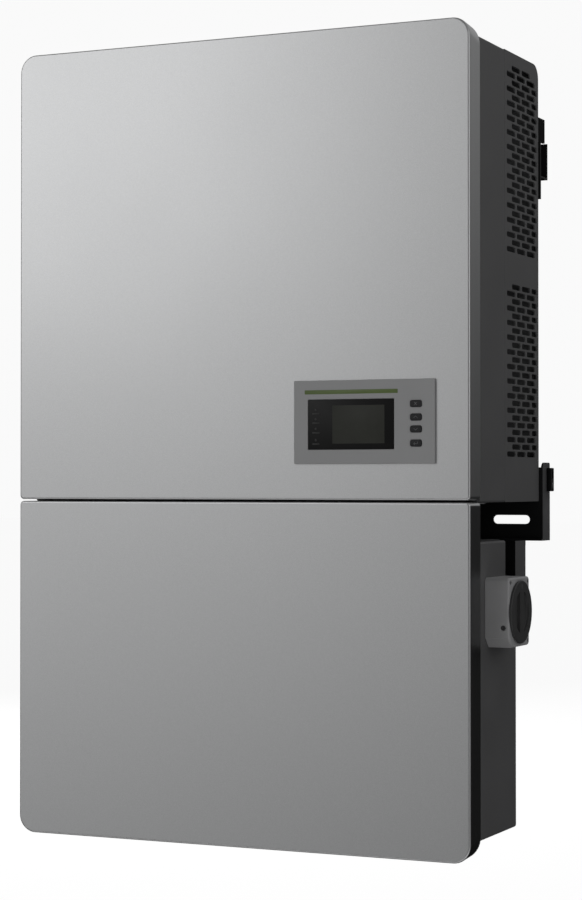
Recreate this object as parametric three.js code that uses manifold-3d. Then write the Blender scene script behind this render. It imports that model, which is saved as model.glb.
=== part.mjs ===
// Wall-hung string inverter: upper power enclosure with a fan-cooled rear duct,
// lower wiring box, two painted front covers and a black steel wall bracket.
// Millimetres, +Z up, front faces -Y. The group is drawn in the cover frame
// (Y = 0 at the front covers' faces, Z = 0 at their mid-height) and then shifted
// so that the origin lies on the bracket's rear face, in the middle of its top rail.
import * as THREE from 'three';
import Module from 'manifold-3d';
import { mergeVertices } from 'three/addons/utils/BufferGeometryUtils.js';

const wasm = await Module();
wasm.setup();

// ---- driving dimensions ----
const COVER_HW = 304;            // half width of the front covers
const COVER_TOP = 492.5, COVER_BOT = -492.5;
const SEAM_UP = -70.9, SEAM_LOW = -73.9;   // the 3 mm gap between the covers
const COVER_D = 35;              // depth of the covers' side walls
const COVER_R = 22;              // corner radius
const COVER_EDGE = 4;            // rounding of the front edge
const SHEET = 2.5;               // sheet thickness
const GASKET_Y0 = 35.3, GASKET_Y1 = 37.3;
const BOX_Y0 = 37.6;             // front flange of both boxes
const BOX_HW = 302;
const MAIN_TOP = 476, MAIN_BOT = -74;
const MAIN_YR = 127;             // rear wall of the sealed zone
const DUCT_YR = 255, DUCT_R = 18;
const WIRE_TOP = -120, WIRE_BOT = -471.4, WIRE_YR = 166;
const NECK_HW = 215, NECK_Y0 = 50, NECK_Y1 = 122, NECK_TOP = -77;
const FLANGE = 14;               // turned-in front flange of the boxes
const GAP = 0.3;
const WALL_Y = 285;              // wall plane
const RAIL_Z0 = 335, RAIL_Z1 = 381;
const ORIGIN_Z = 358;
const SW_Y = 91.5, SW_Z = -204, SW_HY = 36.5, SW_HZ = 41.3, SW_T = 30.3;   // disconnect bases
const KNOB_R = 37.5;
const FAN_S = 119, FAN_Y = 188.8, FAN_Z0 = -71.2, FAN_Z1 = -33.2;
const FAN_X = [-185, 0, 185];
const BOLT_Y = 276.5, BOLT_Z = -46.5;

// ---- helpers ----
function solid(g) {
  const b = new THREE.BufferGeometry();
  b.setAttribute('position', g.getAttribute('position').clone());
  if (g.index) b.setIndex(g.index.clone());
  const m = mergeVertices(b, 1e-4);
  const idx = m.index.array, pos = m.getAttribute('position').array;
  return new wasm.Manifold(new wasm.Mesh({
    numProp: 3, vertProperties: new Float32Array(pos), triVerts: new Uint32Array(idx) }));
}
function toGeometry(man) {
  const m = man.getMesh();
  const g = new THREE.BufferGeometry();
  g.setAttribute('position', new THREE.BufferAttribute(new Float32Array(m.vertProperties), 3));
  g.setIndex(new THREE.BufferAttribute(new Uint32Array(m.triVerts), 1));
  g.computeVertexNormals();
  return g;
}
const box = (x0, x1, y0, y1, z0, z1) => {
  const g = new THREE.BoxGeometry(Math.abs(x1 - x0), Math.abs(y1 - y0), Math.abs(z1 - z0));
  g.translate((x0 + x1) / 2, (y0 + y1) / 2, (z0 + z1) / 2);
  return solid(g);
};
const AX = {
  X: new THREE.Matrix4().makeBasis(new THREE.Vector3(0, 1, 0), new THREE.Vector3(0, 0, 1), new THREE.Vector3(1, 0, 0)),
  Y: new THREE.Matrix4().makeBasis(new THREE.Vector3(1, 0, 0), new THREE.Vector3(0, 0, 1), new THREE.Vector3(0, -1, 0)),
  Z: new THREE.Matrix4(),
};
// a shape in the plane across the axis (X: y,z; Y: x,z; Z: x,y), extruded from a0 to a1
function extrude(axis, shape, a0, a1, seg = 2) {
  const g = new THREE.ExtrudeGeometry(shape, { depth: a1 - a0, bevelEnabled: false, curveSegments: seg, steps: 1 });
  g.applyMatrix4(AX[axis]);
  if (axis === 'X') g.translate(a0, 0, 0);
  if (axis === 'Y') g.translate(0, a1, 0);
  if (axis === 'Z') g.translate(0, 0, a0);
  return solid(g);
}
// cylinder along an axis, centred at c (its two cross coordinates, in X,Y,Z order)
function cyl(axis, r, c, a0, a1, seg = 24, r2 = r) {
  const g = new THREE.CylinderGeometry(r2, r, a1 - a0, seg);   // along +Y, r at the low end
  if (axis === 'X') { g.rotateZ(-Math.PI / 2); g.translate((a0 + a1) / 2, c[0], c[1]); }
  if (axis === 'Y') { g.translate(c[0], (a0 + a1) / 2, c[1]); }
  if (axis === 'Z') { g.rotateX(Math.PI / 2); g.translate(c[0], c[1], (a0 + a1) / 2); }
  return solid(g);
}
// rectangle with rounded corners; radii as [low-low, high-low, high-high, low-high]
function rr(x0, x1, y0, y1, r = 0) {
  const [a, b, c, d] = Array.isArray(r) ? r : [r, r, r, r];
  const s = new THREE.Shape();
  s.moveTo(x0 + a, y0);
  s.lineTo(x1 - b, y0);
  if (b) s.absarc(x1 - b, y0 + b, b, -Math.PI / 2, 0, false);
  s.lineTo(x1, y1 - c);
  if (c) s.absarc(x1 - c, y1 - c, c, 0, Math.PI / 2, false);
  s.lineTo(x0 + d, y1);
  if (d) s.absarc(x0 + d, y1 - d, d, Math.PI / 2, Math.PI, false);
  s.lineTo(x0, y0 + a);
  if (a) s.absarc(x0 + a, y0 + a, a, Math.PI, 1.5 * Math.PI, false);
  return s;
}
function poly(pts) {
  const s = new THREE.Shape();
  pts.forEach((p, i) => (i ? s.lineTo(p[0], p[1]) : s.moveTo(p[0], p[1])));
  return s;
}
const obround = (x, y, len, h) => rr(x - len / 2, x + len / 2, y - h / 2, y + h / 2, h / 2 - 0.01);
const union = (...a) => a.reduce((p, q) => p.add(q));
const cut = (a, ...b) => b.reduce((p, q) => p.subtract(q), a);

const group = new THREE.Group();
const COL = {
  silver: [0xb9bbbd, 0.42, 0.55], dark: [0x3a3a3b, 0.6, 0.2], black: [0x141414, 0.55, 0.2],
  panel: [0xc9cbcc, 0.5, 0.05], window: [0x07080a, 0.12, 0.0], key: [0x3c3f42, 0.6, 0.0],
  rubber: [0x111111, 0.9, 0.0], alu: [0xa9abad, 0.4, 0.9], fan: [0x161617, 0.6, 0.0],
  pcb: [0x1f5a35, 0.55, 0.0], base: [0x6a6c6e, 0.5, 0.0], knob: [0x222325, 0.5, 0.0],
  steel: [0x8d8f91, 0.35, 0.9], copper: [0xb87333, 0.35, 0.9], hook: [0x4a4a4b, 0.6, 0.2],
  ribbon: [0x9aa0a4, 0.6, 0.0], cream: [0xcfcab8, 0.6, 0.0], potted: [0x2a2b2d, 0.6, 0.1],
  red: [0x9c2a22, 0.5, 0.0],
};
function part(name, man, col) {
  const [c, r, m] = COL[col];
  const mesh = new THREE.Mesh(toGeometry(man), new THREE.MeshStandardMaterial({ color: c, roughness: r, metalness: m }));
  mesh.name = name;
  group.add(mesh);
}
const mirrorX = (man) => man.mirror([1, 0, 0]);

// ---- front covers: folded pans with a rounded front edge and a turned-in rear flange ----
function coverBlank(z0, z1, inset, y0, radii) {
  const e = COVER_EDGE;
  const hw = COVER_HW - inset;
  const s = rr(-hw + e, hw - e, z0 + inset + e, z1 - inset - e, radii.map((r) => Math.max(r - inset - e, 0)));
  const g = new THREE.ExtrudeGeometry(s, { depth: 60, bevelEnabled: true, bevelSize: e, bevelThickness: e, bevelSegments: 2, curveSegments: 3 });
  g.applyMatrix4(AX.Y);
  g.translate(0, y0 + 60 + e, 0);
  return solid(g);
}
function cover(z0, z1, radii, opening) {
  const outer = coverBlank(z0, z1, 0, 0, radii).intersect(box(-400, 400, -1, COVER_D, -600, 600));
  const inner = coverBlank(z0, z1, SHEET, SHEET, radii).intersect(box(-400, 400, -1, COVER_D - SHEET, -600, 600));
  return cut(outer, inner, extrude('Y', opening, COVER_D - 10, COVER_D + 5));
}
const RB = COVER_R, RS = 6;
const PANEL = { x0: 80.8, x1: 261.3, z0: -28, z1: 71.5 };
const HOLE = { x0: 94, x1: 251, z0: -19, z1: 61 };
const OPEN_HW = BOX_HW - FLANGE;
let upper = cover(SEAM_UP, COVER_TOP, [RS, RS, RB, RB], rr(-OPEN_HW, OPEN_HW, MAIN_BOT + FLANGE, MAIN_TOP - FLANGE, 4));
upper = cut(upper, extrude('Y', rr(HOLE.x0, HOLE.x1, HOLE.z0, HOLE.z1, 3), -5, 5));
part('upper_cover', upper, 'silver');
part('lower_cover', cover(COVER_BOT, SEAM_LOW, [RB, RB, RS, RS], rr(-OPEN_HW, OPEN_HW, WIRE_BOT + FLANGE, WIRE_TOP - FLANGE, 4)), 'silver');

const ring = (hw, z0, z1, w, y0, y1, r) => cut(
  extrude('Y', rr(-hw, hw, z0, z1, r), y0, y1),
  extrude('Y', rr(-hw + w, hw - w, z0 + w, z1 - w, Math.max(r - w, 1)), y0 - 1, y1 + 1));
part('upper_cover_gasket', ring(BOX_HW - 1.5, MAIN_BOT + 1.5, MAIN_TOP - 1.5, 10, GASKET_Y0, GASKET_Y1, 6), 'rubber');
part('lower_cover_gasket', ring(BOX_HW - 1.5, WIRE_BOT + 1.5, WIRE_TOP - 1.5, 10, GASKET_Y0, GASKET_Y1, 6), 'rubber');

// ---- display panel, window, display module and keys ----
const WIN = { x0: 99, x1: 210.5, z0: -11.3, z1: 48.9 };
const KEY_X = 238, KEY_W = 14.6, KEY_H = 7.8, KEY_Z = [42.2, 26.4, 12.4, -4.1];
const PANEL_Y = -3.3;
let panel = extrude('Y', rr(PANEL.x0, PANEL.x1, PANEL.z0, PANEL.z1, 7), PANEL_Y, -GAP);
panel = cut(panel,
  extrude('Y', rr(WIN.x0, WIN.x1, WIN.z0, WIN.z1, 2.5), PANEL_Y - 1, -1.1),
  extrude('Y', rr(WIN.x0 + 5, WIN.x1 - 5, WIN.z0 + 5, WIN.z1 - 5, 1.5), PANEL_Y - 1, 1));
for (const z of KEY_Z) panel = cut(panel, extrude('Y', rr(KEY_X - KEY_W / 2 - 0.3, KEY_X + KEY_W / 2 + 0.3, z - KEY_H / 2 - 0.3, z + KEY_H / 2 + 0.3, 2.6), PANEL_Y - 1, 1));
part('display_panel', panel, 'panel');
part('display_window', extrude('Y', rr(WIN.x0 + GAP, WIN.x1 - GAP, WIN.z0 + GAP, WIN.z1 - GAP, 2.3), PANEL_Y + 0.2, -1.4), 'window');
part('lcd_module', union(
  box(96.5, 248.5, 5, 6.6, -16.5, 58.5),
  box(124, 205, -0.8, 5.5, -5.8, 43.4),
  box(140, 190, 6, 12, 8, 22)), 'pcb');
const KEY_NAMES = ['key_esc', 'key_up', 'key_down', 'key_enter'];
KEY_Z.forEach((z, i) => {
  const r = i === 0 ? 1.6 : 2.6;
  part(KEY_NAMES[i], union(
    extrude('Y', rr(KEY_X - KEY_W / 2, KEY_X + KEY_W / 2, z - KEY_H / 2, z + KEY_H / 2, r), -4.7, 0.6, 2),
    extrude('Y', rr(KEY_X - KEY_W / 2 - 1.6, KEY_X + KEY_W / 2 + 1.6, z - KEY_H / 2 - 1.2, z + KEY_H / 2 + 1.2, 2), 0.2, 1.8, 1),
    box(KEY_X - 2, KEY_X + 2, 1.5, 3.8, z - 2, z + 2)), 'key');
});

// ---- main enclosure: sealed box, open at the front, window for the heat sink at the rear ----
let mainBox = cut(
  extrude('Y', rr(-BOX_HW, BOX_HW, MAIN_BOT, MAIN_TOP, 3), BOX_Y0, MAIN_YR),
  extrude('Y', rr(-BOX_HW + SHEET, BOX_HW - SHEET, MAIN_BOT + SHEET, MAIN_TOP - SHEET, 1), BOX_Y0 + SHEET, MAIN_YR - SHEET),
  extrude('Y', rr(-OPEN_HW, OPEN_HW, MAIN_BOT + FLANGE, MAIN_TOP - FLANGE, 4), BOX_Y0 - 5, BOX_Y0 + 10),
  box(-230, 230, MAIN_YR - 10, MAIN_YR + 10, 20, 420),
  extrude('Z', rr(-NECK_HW + 14, NECK_HW - 14, NECK_Y0 + 12, NECK_Y1 - 12, 6), MAIN_BOT - 5, MAIN_BOT + 10));
part('main_enclosure', mainBox, 'dark');

// ---- heat sink: base plate and vertical fins ----
{
  const pts = [[-262, MAIN_YR + GAP], [262, MAIN_YR + GAP], [262, 138]];
  const n = 25, pitch = 20.8, t = 2.6, tip = 243;
  for (let i = n - 1; i >= 0; i--) {
    const x = (i - (n - 1) / 2) * pitch;
    pts.push([x + t / 2, 138], [x + t / 2 - 0.4, tip], [x - t / 2 + 0.4, tip], [x - t / 2, 138]);
  }
  pts.push([-262, 138]);
  part('heat_sink', extrude('Z', poly(pts), -8, 436), 'alu');
}

// ---- rear cooling duct: two side panels and a bent top-and-rear cover with its hangers ----
const sideShape = () => {
  const s = new THREE.Shape();
  s.moveTo(MAIN_YR + 0.6, MAIN_BOT);
  s.lineTo(DUCT_YR, MAIN_BOT);
  s.lineTo(DUCT_YR, MAIN_TOP - DUCT_R);
  s.absarc(DUCT_YR - DUCT_R, MAIN_TOP - DUCT_R, DUCT_R, 0, Math.PI / 2, false);
  s.lineTo(MAIN_YR + 0.6, MAIN_TOP);
  s.closePath();
  return s;
};
const ductSide = extrude('X', sideShape(), BOX_HW - SHEET, BOX_HW, 3);
part('duct_side_right', ductSide, 'dark');
part('duct_side_left', mirrorX(ductSide), 'dark');
{
  const s = new THREE.Shape(), r = DUCT_R, q = DUCT_R - SHEET, yr = DUCT_YR, zt = MAIN_TOP;
  s.moveTo(MAIN_YR + 0.6, zt);
  s.lineTo(MAIN_YR + 0.6, zt - SHEET);
  s.lineTo(yr - r, zt - SHEET);
  s.absarc(yr - r, zt - r, q, Math.PI / 2, 0, true);
  s.lineTo(yr - SHEET, MAIN_BOT);
  s.lineTo(yr, MAIN_BOT);
  s.lineTo(yr, zt - r);
  s.absarc(yr - r, zt - r, r, 0, Math.PI / 2, false);
  s.closePath();
  const hw = BOX_HW - SHEET - GAP;
  let m = extrude('X', s, -hw, hw, 3);
  const hanger = union(
    box(298.6, 301.8, 255.3, 281, RAIL_Z1 + 0.5, 411.5),
    box(236, 301.8, 262.3, 265.3, 348, 411.5),
    box(236, 299.2, 254, 265.3, 408.5, 411.5));
  const ear = cut(union(box(296, 299.2, 253, 282.2, -66, -31), cyl('X', 5.6, [BOLT_Y, BOLT_Z], 288, 297, 18)),
    cyl('X', 3.3, [BOLT_Y, BOLT_Z], 280, 305, 18));
  m = union(m, hanger, mirrorX(hanger), ear, mirrorX(ear));
  part('duct_rear_cover', m, 'dark');
}

// ---- external fans: tray, three frames, three rotors (turning about Z) ----
{
  let tray = box(-298, 298, MAIN_YR + 0.9, DUCT_YR - SHEET - GAP, MAIN_BOT, MAIN_BOT + SHEET);
  for (const x of FAN_X) tray = cut(tray, cyl('Z', 57, [x, FAN_Y], MAIN_BOT - 5, MAIN_BOT + 10, 28));
  part('fan_tray', tray, 'dark');
}
function fanFrame(s, z0, z1, rHole, rHub, plate) {
  let f = extrude('Z', rr(-s / 2, s / 2, -s / 2, s / 2, s * 0.04), z0, z1, 1);
  f = cut(f, cyl('Z', rHole, [0, 0], z0 - 5, z1 + 5, 28));
  const spider = union(cyl('Z', rHub, [0, 0], z0, z0 + plate, 12),
    box(-rHole - 0.5, rHole + 0.5, -2.4, 2.4, z0, z0 + plate), box(-2.4, 2.4, -rHole - 0.5, rHole + 0.5, z0, z0 + plate));
  f = f.add(spider);
  for (const sx of [-1, 1]) for (const sy of [-1, 1]) f = cut(f, cyl('Z', s * 0.018, [sx * s * 0.44, sy * s * 0.44], z0 - 5, z1 + 5, 6));
  return f;
}
function rotor(rHub, rTip, z0, z1, blades, chord) {
  let m = cyl('Z', rHub, [0, 0], z0, z1, 14);
  const g = new THREE.BoxGeometry(rTip - rHub + 2, chord, 1.8);
  g.rotateX(-0.62);
  g.translate((rTip + rHub - 2) / 2, 0, (z0 + z1) / 2);
  const blade = solid(g);
  for (let i = 0; i < blades; i++) m = m.add(blade.rotate([0, 0, (360 * i) / blades]));
  return m;
}
FAN_X.forEach((x, i) => {
  part('fan_frame_' + (i + 1), fanFrame(FAN_S, FAN_Z0, FAN_Z1, 56.5, 23, 3.6).translate([x, FAN_Y, 0]), 'fan');
  part('fan_rotor_' + (i + 1), rotor(21, 53.5, FAN_Z0 + 5, FAN_Z1 - 1.5, 7, 34).translate([x, FAN_Y, 0]), 'fan');
});
// internal circulation fan, axis along Y, low in the sealed zone
const IF = { x: -225, z: 0, y0: 78, y1: 103 };
part('internal_fan_frame', fanFrame(80, 0, 25, 37, 17, 3).rotate([-90, 0, 0]).translate([IF.x, IF.y0, IF.z]), 'fan');
part('internal_fan_rotor', rotor(15.5, 34.5, 4.2, 24, 7, 20).rotate([-90, 0, 0]).translate([IF.x, IF.y0, IF.z]), 'fan');

// ---- power electronics in the sealed zone ----
part('control_board', union(
  box(20, 285, 60, 61.8, -50, 110), box(60, 92, 56, 60.5, 20, 52), box(150, 176, 57, 60.5, 12, 38),
  box(200, 262, 52, 60.5, 60, 84), box(40, 54, 50, 60.5, 70, 102), box(110, 150, 53, 60.5, -42, -30)), 'pcb');
part('ribbon_cable', extrude('X', poly([[12.3, 19], [24, 19], [53, 4], [59.7, 4], [59.7, 2.6], [52.6, 2.6], [23.6, 17.6], [12.3, 17.6]]), 150, 180), 'ribbon');
part('power_board', (() => {
  let m = box(-280, 280, 96, 98, 135, 445);
  for (const [x0, x1, z0, z1, d] of [[-260, -210, 380, 430, 30], [-190, -140, 380, 430, 30], [-120, -70, 380, 430, 30], [60, 240, 150, 175, 18], [-250, -90, 150, 172, 20]]) m = m.add(box(x0, x1, 96 - d, 97, z0, z1));
  return m;
})(), 'pcb');
part('capacitor_bank', (() => {
  let m = box(-270, 270, 90, 92, 190, 360);
  for (let i = 0; i < 9; i++) for (let j = 0; j < 2; j++) m = m.add(cyl('Y', 17.5, [-240 + i * 60, 235 + j * 80], 52, 91, 8));
  return m;
})(), 'potted');
part('power_modules', (() => {
  let m = box(-215, 215, 122, MAIN_YR, 150, 400);
  for (const x of [-150, 0, 150]) for (const z of [210, 330]) m = m.add(box(x - 53, x + 53, 106, 123, z - 32, z + 32));
  return m;
})(), 'potted');
part('boost_inductors', (() => {
  let m = box(-180, -5, 66, 124, -40, 110);
  for (const z of [-15, 35, 85]) m = m.add(cyl('Y', 20, [-92, z], 58, 67, 10));
  return m;
})(), 'potted');
part('ac_inductors', (() => {
  let m = box(10, 280, 78, 124, -50, 10);
  for (const x of [60, 145, 230]) m = m.add(cyl('Y', 22, [x, -20], 70, 79, 10));
  return m;
})(), 'potted');

// ---- wiring box with its neck, side pockets at the upper rear corners ----
{
  const pocket = (g) => union(box(281 - g, 320, 128 - g, WIRE_YR + 20, -165 - g, WIRE_TOP + 20), box(-320, -281 + g, 128 - g, WIRE_YR + 20, -165 - g, WIRE_TOP + 20));
  const outer = cut(extrude('Y', rr(-BOX_HW, BOX_HW, WIRE_BOT, WIRE_TOP, [3.5, 3.5, 3, 3]), BOX_Y0, WIRE_YR), pocket(0));
  const inner = cut(extrude('Y', rr(-BOX_HW + SHEET, BOX_HW - SHEET, WIRE_BOT + SHEET, WIRE_TOP - SHEET, 1), BOX_Y0 + SHEET, WIRE_YR - SHEET), pocket(SHEET));
  const neck = extrude('Z', rr(-NECK_HW, NECK_HW, NECK_Y0, NECK_Y1, 8), WIRE_TOP - 1, NECK_TOP);
  const neckIn = extrude('Z', rr(-NECK_HW + 14, NECK_HW - 14, NECK_Y0 + 12, NECK_Y1 - 12, 6), WIRE_TOP - 10, NECK_TOP + 5);
  let m = cut(union(cut(outer, inner), neck), neckIn,
    extrude('Y', rr(-OPEN_HW, OPEN_HW, WIRE_BOT + FLANGE, WIRE_TOP - FLANGE, 4), BOX_Y0 - 5, BOX_Y0 + 10),
    cyl('X', 7, [SW_Y, SW_Z], -320, 320, 20));
  part('wiring_box', m, 'dark');
}
part('neck_gasket', cut(
  extrude('Z', rr(-NECK_HW + 2, NECK_HW - 2, NECK_Y0 + 2, NECK_Y1 - 2, 6), NECK_TOP + GAP, MAIN_BOT - GAP),
  extrude('Z', rr(-NECK_HW + 12, NECK_HW - 12, NECK_Y0 + 10, NECK_Y1 - 10, 4), -100, -60)), 'rubber');
{
  const h = union(box(298.5, 301.5, WIRE_YR + GAP, 205, -188, -122), box(262, 300, WIRE_YR + GAP, WIRE_YR + 3, -188, -122));
  part('hook_plate_right', h, 'hook');
  part('hook_plate_left', mirrorX(h), 'hook');
}

// ---- disconnects: base and knob outside, switch body and shaft inside ----
function disconnect(side, tag) {
  const put = (m) => (side > 0 ? m : mirrorX(m));
  const x0 = BOX_HW + GAP, x1 = BOX_HW + SW_T;
  const s = new THREE.Shape();
  const y0 = SW_Y - SW_HY, y1 = SW_Y + SW_HY, z0 = SW_Z - SW_HZ, z1 = SW_Z + SW_HZ;
  s.moveTo(y0 + 12, z0); s.lineTo(y1 - 5, z0); s.absarc(y1 - 5, z0 + 5, 5, -Math.PI / 2, 0, false);
  s.lineTo(y1, z1 - 5); s.absarc(y1 - 5, z1 - 5, 5, 0, Math.PI / 2, false);
  s.lineTo(y0 + 5, z1); s.absarc(y0 + 5, z1 - 5, 5, Math.PI / 2, Math.PI, false);
  s.lineTo(y0, z0 + 12); s.closePath();
  let base = cut(extrude('X', s, x0, x1, 3),
    cyl('X', 30, [SW_Y, SW_Z], x1 - 6, x1 + 5, 32),
    cyl('X', 7, [SW_Y, SW_Z], x0 - 5, x1 + 5, 20),
    cyl('Y', 3.2, [324.5, SW_Z - 17.5], y0 - 5, y0 + 3, 12));
  part(tag + '_switch_base', put(base), 'base');
  const k0 = x1 - 5.6, k1 = x1 + 3.4;
  let knob = union(cyl('X', 28.6, [SW_Y, SW_Z], k0, x1 + 1, 32), cyl('X', KNOB_R, [SW_Y, SW_Z], x1 + 0.6, k1 - 1, 40), cyl('X', KNOB_R, [SW_Y, SW_Z], k1 - 1, k1, 40, KNOB_R - 1));
  const scoop = (sg) => cut(cyl('X', 26, [SW_Y, SW_Z], k1 - 3.6, k1 + 5, 32),
    box(k1 - 10, k1 + 10, SW_Y - 60, SW_Y + 60, SW_Z - 60, SW_Z + 60).intersect(sg > 0 ? box(0, 400, SW_Y - 60, SW_Y + 7, -400, 0) : box(0, 400, SW_Y - 7, SW_Y + 60, -400, 0)));
  knob = cut(knob, scoop(1), scoop(-1), cyl('X', 4.4, [SW_Y, SW_Z], k0 - 5, k0 + 5.3, 18));
  part(tag + '_switch_knob', put(knob), 'knob');
  part(tag + '_switch_shaft', put(cyl('X', 4, [SW_Y, SW_Z], 278, k0 + 5, 18)), 'steel');
  let body = union(box(248, BOX_HW - SHEET - GAP, SW_Y - 31, SW_Y + 31, SW_Z - 31, SW_Z + 31));
  for (const z of [-22, 0, 22]) body = body.add(box(240, 249, SW_Y - 26, SW_Y + 26, SW_Z + z - 7, SW_Z + z + 7));
  body = cut(body, cyl('X', 4.4, [SW_Y, SW_Z], 277.5, 320, 18));
  part(tag + '_switch_body', put(body), 'potted');
}
disconnect(1, 'ac');
disconnect(-1, 'dc');

// ---- wiring compartment ----
const FUSE_X = [-196, -178, -160, -142];
{
  let b = box(-205.2, -132.8, 118, WIRE_YR - SHEET - GAP, -345, -255);
  for (const x of [-187, -169, -151]) b = cut(b, box(x - 0.6, x + 0.6, 110, 124, -350, -250));
  part('dc_fuse_block', b, 'potted');
}
FUSE_X.forEach((x, i) => part('fuse_lever_' + (i + 1), union(
  box(x - 7.8, x + 7.8, 104, 117.4, -328, -276),
  box(x - 5, x + 5, 98, 105, -284, -277)), 'cream'));
{
  const z0 = -340, z1 = -288, y0 = 122, yr = WIRE_YR - SHEET - GAP;
  let b = box(60, 222, y0 + 12, yr, z0, z1);
  for (let i = 0; i <= 5; i++) b = b.add(box(60 + i * 32, 62 + i * 32, y0, y0 + 13, z0, z1));
  for (let i = 0; i < 5; i++) b = b.add(cyl('Y', 7, [77 + i * 32, -314], y0 + 4, y0 + 13, 8));
  part('ac_terminal_block', b, 'potted');
}
part('surge_base', union(box(-70, -34, 128, WIRE_YR - SHEET - GAP, -345, -255), box(-70, -34, 112, 129, -345, -323), box(-70, -34, 112, 129, -277, -255)), 'potted');
part('surge_cartridge', box(-68.5, -35.5, 100, 127.7, -322.4, -277.6), 'red');
{
  let b = union(box(-90, 60, 136, 142, -436, -420), box(-84, -72, 141, WIRE_YR - SHEET - GAP, -436, -420), box(42, 54, 141, WIRE_YR - SHEET - GAP, -436, -420));
  for (let i = 0; i < 6; i++) b = cut(b, cyl('Y', 2.8, [-58 + i * 17, -428], 130, 150, 8));
  part('ground_bar', b, 'copper');
}

// ---- wall bracket ----
{
  let rail = extrude('X', poly([[256.5, 308], [259, 308], [259, RAIL_Z0], [WALL_Y, RAIL_Z0], [WALL_Y, RAIL_Z1], [282.5, RAIL_Z1], [282.5, RAIL_Z0 + 2.5], [259, RAIL_Z0 + 2.5], [259, RAIL_Z1], [256.5, RAIL_Z1]]), -304.2, 304.2);
  for (const x of [-250, -100, 100, 250]) rail = cut(rail, extrude('Y', obround(x, 360, 30, 10), 270, 290, 2));
  part('bracket_upper_rail', rail, 'black');
  let low = union(box(-306.6, 306.6, 256.5, 259, -123.6, -31.5), box(-306.6, 306.6, 252.5, 258, -123.6, -121.3),
    box(-283, 283, 256.5, 259, -130, -120), box(-283, 283, 252.5, 258, -130, -127.7));
  for (const s of [-1, 1]) {
    const flange = extrude('X', rr(256.5, WALL_Y, -123.6, -25, [0, 0, 3, 9]), 304.1, 306.6, 3);
    low = low.add(s > 0 ? flange : mirrorX(flange));
    low = low.add(box(s * 282, s * 306.6, 282.5, WALL_Y, -123.6, -31.5));
    low = cut(low, box(s * 294.5, s * 301, 250, 262, -68, -20),
      extrude('Y', obround(s * 265, -97, 49, 11), 245, 270, 2),
      extrude('Y', obround(s * 293, -97, 14, 9), 275, 290, 2),
      cyl('X', 3.6, [BOLT_Y, BOLT_Z], s > 0 ? 300 : -310, s > 0 ? 310 : -300, 18));
  }
  part('bracket_lower_plate', low, 'black');
  const up = extrude('Z', poly([[150, 259.3], [210, 259.3], [210, WALL_Y], [207.5, WALL_Y], [207.5, 261.8], [152.5, 261.8], [152.5, WALL_Y], [150, WALL_Y]]), -110, RAIL_Z0 - GAP);
  part('bracket_upright_right', up, 'black');
  part('bracket_upright_left', mirrorX(up), 'black');
  const bolt = union(cyl('X', 3, [BOLT_Y, BOLT_Z], 287, 307.5, 18), cut(box(306.9, 313.4, BOLT_Y - 5, BOLT_Y + 5, BOLT_Z - 14.8, BOLT_Z + 14.8),
    cyl('X', 3.2, [BOLT_Y, BOLT_Z], 310.4, 315, 6)));
  part('securing_bolt_right', bolt, 'black');
  part('securing_bolt_left', mirrorX(bolt), 'black');
}

group.position.set(0, -WALL_Y, -ORIGIN_Z);
group.updateMatrixWorld(true);
export default group;
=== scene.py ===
"""Looks of the string inverter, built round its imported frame. Lengths below are in
millimetres in the covers' own frame (Y = 0 on the covers' faces, Z = 0 at their
mid-height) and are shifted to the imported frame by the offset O."""
import math
import bmesh
import bpy
from mathutils import Vector, Matrix


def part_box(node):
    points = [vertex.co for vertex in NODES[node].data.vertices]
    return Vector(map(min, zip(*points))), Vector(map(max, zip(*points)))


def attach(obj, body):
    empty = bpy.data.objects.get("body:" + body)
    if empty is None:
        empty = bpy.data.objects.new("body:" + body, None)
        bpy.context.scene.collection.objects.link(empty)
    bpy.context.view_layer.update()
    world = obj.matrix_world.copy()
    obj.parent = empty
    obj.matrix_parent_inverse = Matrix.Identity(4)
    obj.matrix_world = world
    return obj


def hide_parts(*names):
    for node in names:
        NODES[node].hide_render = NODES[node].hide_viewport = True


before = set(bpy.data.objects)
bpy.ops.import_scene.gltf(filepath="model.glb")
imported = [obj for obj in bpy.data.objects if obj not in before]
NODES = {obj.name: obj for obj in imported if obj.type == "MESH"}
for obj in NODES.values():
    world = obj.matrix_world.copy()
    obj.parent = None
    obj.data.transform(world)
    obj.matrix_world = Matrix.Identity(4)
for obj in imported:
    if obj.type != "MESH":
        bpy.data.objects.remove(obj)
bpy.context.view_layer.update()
col = bpy.context.scene.collection

_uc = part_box("upper_cover")
O = Vector((0.0, _uc[0][1], _uc[1][2] - 0.4925))


def V(x, y, z):
    return Vector((x / 1000, y / 1000, z / 1000)) + O


# ------------------------------------------------------------------ mesh helpers
def make(name, verts, faces, smooth=True):
    me = bpy.data.meshes.new(name)
    me.from_pydata([tuple(v) for v in verts], [], faces)
    bm = bmesh.new()
    bm.from_mesh(me)
    bmesh.ops.recalc_face_normals(bm, faces=bm.faces)
    bm.to_mesh(me)
    bm.free()
    if smooth:
        me.shade_smooth()
    o = bpy.data.objects.new(name, me)
    col.objects.link(o)
    return o


def pt(axis, a, b, t):
    return {"X": V(t, a, b), "Y": V(a, t, b), "Z": V(a, b, t)}[axis]


def loft(name, rings, cap=True):
    """Closed skin through rings with equal numbers of points, given as world points."""
    n = len(rings[0])
    verts = [p for r in rings for p in r]
    faces = []
    for i in range(len(rings) - 1):
        for j in range(n):
            k = (j + 1) % n
            faces.append((i * n + j, i * n + k, (i + 1) * n + k, (i + 1) * n + j))
    if cap:
        faces.append(tuple(range(n)))
        faces.append(tuple(range((len(rings) - 1) * n, len(rings) * n)))
    return make(name, verts, faces)


def prism(name, axis, pts, t0, t1):
    return loft(name, [[pt(axis, a, b, t) for a, b in pts] for t in (t0, t1)])


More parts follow.
